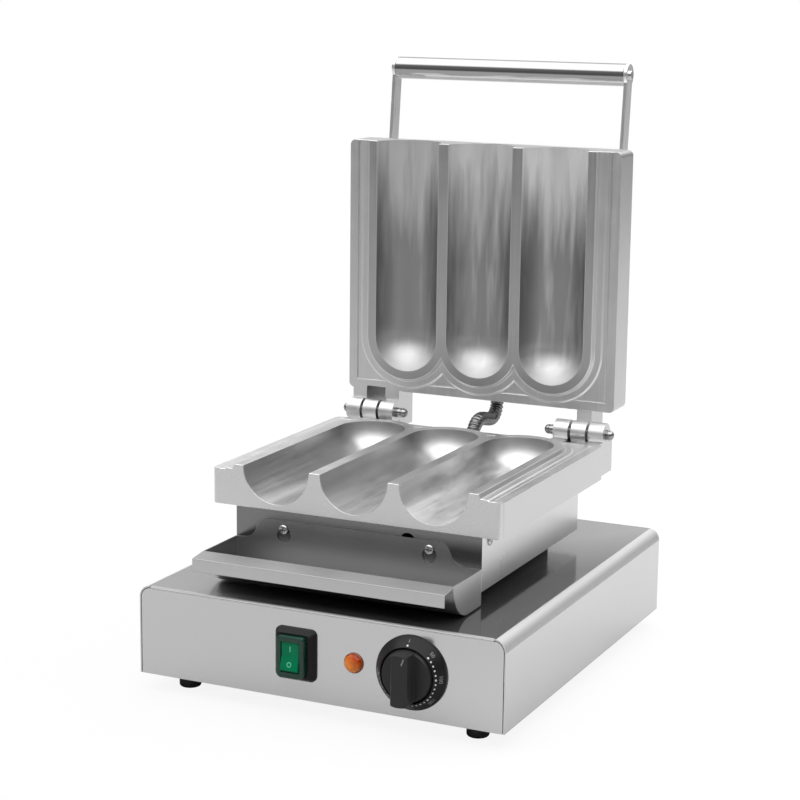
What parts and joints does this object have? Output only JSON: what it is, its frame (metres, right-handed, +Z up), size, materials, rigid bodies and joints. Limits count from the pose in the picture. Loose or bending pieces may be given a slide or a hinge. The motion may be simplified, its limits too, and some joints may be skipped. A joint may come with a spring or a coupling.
{
  "type": "bun press machine",
  "caption": "Countertop bun press with hinged cast plates forming long round-ended cavities, tubular lid handle, drip tray and a steel casing with switch, lamp and thermostat dial.",
  "frame": {"origin": "on the floor below the centre of the bounding box, lid open", "axes": "+X to the machine's right seen from the front, +Y to the back, +Z up"},
  "size_m": [0.32, 0.4106, 0.4977],
  "materials": {
    "stainless_casing": "brushed",
    "stainless_panel": "brushed",
    "heater_box_sheet": "brushed",
    "tray_sheet": "satin",
    "cast_plate": "satin machined",
    "polished_pin": "polished",
    "polished_tube": "polished",
    "zinc_fastener": "zinc plated",
    "black_spacer": "satin",
    "black_rubber": "matte",
    "black_plastic": "satin",
    "dial_plastic": "satin",
    "green_plastic": "gloss",
    "dark_green_plastic": "gloss",
    "orange_lens": "gloss",
    "pale_plastic": "matte",
    "heating_rod": "dull",
    "insulation_wool": "fibrous",
    "copper": "drawn copper",
    "brass": "machined",
    "conduit_metal": "ribbed metal",
    "wire_sleeve": "woven sleeve",
    "ceramic": "glazed ceramic"
  },
  "bodies": {
    "base": {"base_shell": "stainless_casing", "rear_panel": "stainless_panel", "bottom_plate": "stainless_panel", "rubber_feet": "black_rubber", "foot_screws": "zinc_fastener", "spacer_frame": "black_spacer", "spacer_bolts": "zinc_fastener", "lower_housing": "heater_box_sheet", "lower_housing_screws": "zinc_fastener", "lower_plate": "cast_plate", "lower_element": "heating_rod", "lower_clamp_strips": "zinc_fastener", "lower_clamp_screws": "zinc_fastener", "lower_insulation": "insulation_wool", "hinge_pin_right": "polished_pin", "tray_screws": "zinc_fastener", "thermostat_body": "ceramic", "thermostat_screws": "zinc_fastener", "thermostat_bulb": "copper", "capillary_tube": "copper", "dial_plate": "dial_plastic", "pilot_lens": "orange_lens", "pilot_holder": "pale_plastic", "switch_housing": "black_plastic", "switch_window": "dark_green_plastic", "switch_pin": "zinc_fastener", "switch_terminals": "brass", "terminal_block": "ceramic", "terminal_screws": "brass", "earth_stud": "brass", "mains_gland": "black_plastic", "gland_nut": "black_plastic", "base_wiring": "wire_sleeve", "conduit_gland_base": "conduit_metal", "lid_conduit": "conduit_metal"},
    "lid": {"upper_plate": "cast_plate", "upper_housing": "heater_box_sheet", "upper_housing_screws": "zinc_fastener", "upper_element": "heating_rod", "upper_clamp_strips": "zinc_fastener", "upper_clamp_screws": "zinc_fastener", "upper_insulation": "insulation_wool", "hinge_pin_left": "polished_pin", "handle_arms": "stainless_panel", "arm_screws": "zinc_fastener", "handle_tube": "polished_tube", "grip_plugs": "zinc_fastener", "grip_screws": "zinc_fastener", "conduit_gland_lid": "conduit_metal", "lid_wiring": "wire_sleeve"},
    "knob": {"thermostat_knob": "black_plastic", "thermostat_shaft": "zinc_fastener"},
    "rocker": {"switch_rocker": "green_plastic"},
    "tray": {"drip_tray": "tray_sheet"}
  },
  "joints": [
    {"name": "lid_hinge", "type": "hinge", "parent": "base", "child": "lid", "pos_m": [0, 0.1301, 0.1803], "axis": [1, 0, 0], "range_deg": [0, 90], "deforming": ["lid_conduit"]},
    {"name": "knob_turn", "type": "hinge", "parent": "base", "child": "knob", "pos_m": [0.083, -0.19, 0.0514], "axis": [0, 1, 0], "range_deg": [0, 285]},
    {"name": "rocker_tilt", "type": "hinge", "parent": "base", "child": "rocker", "pos_m": [-0.0167, -0.1835, 0.0514], "axis": [1, 0, 0], "range_deg": [0, 16]},
    {"name": "tray_lift", "type": "slide", "parent": "base", "child": "tray", "axis": [0, 0, 1], "range_m": [0, 0.005]}
  ]
}
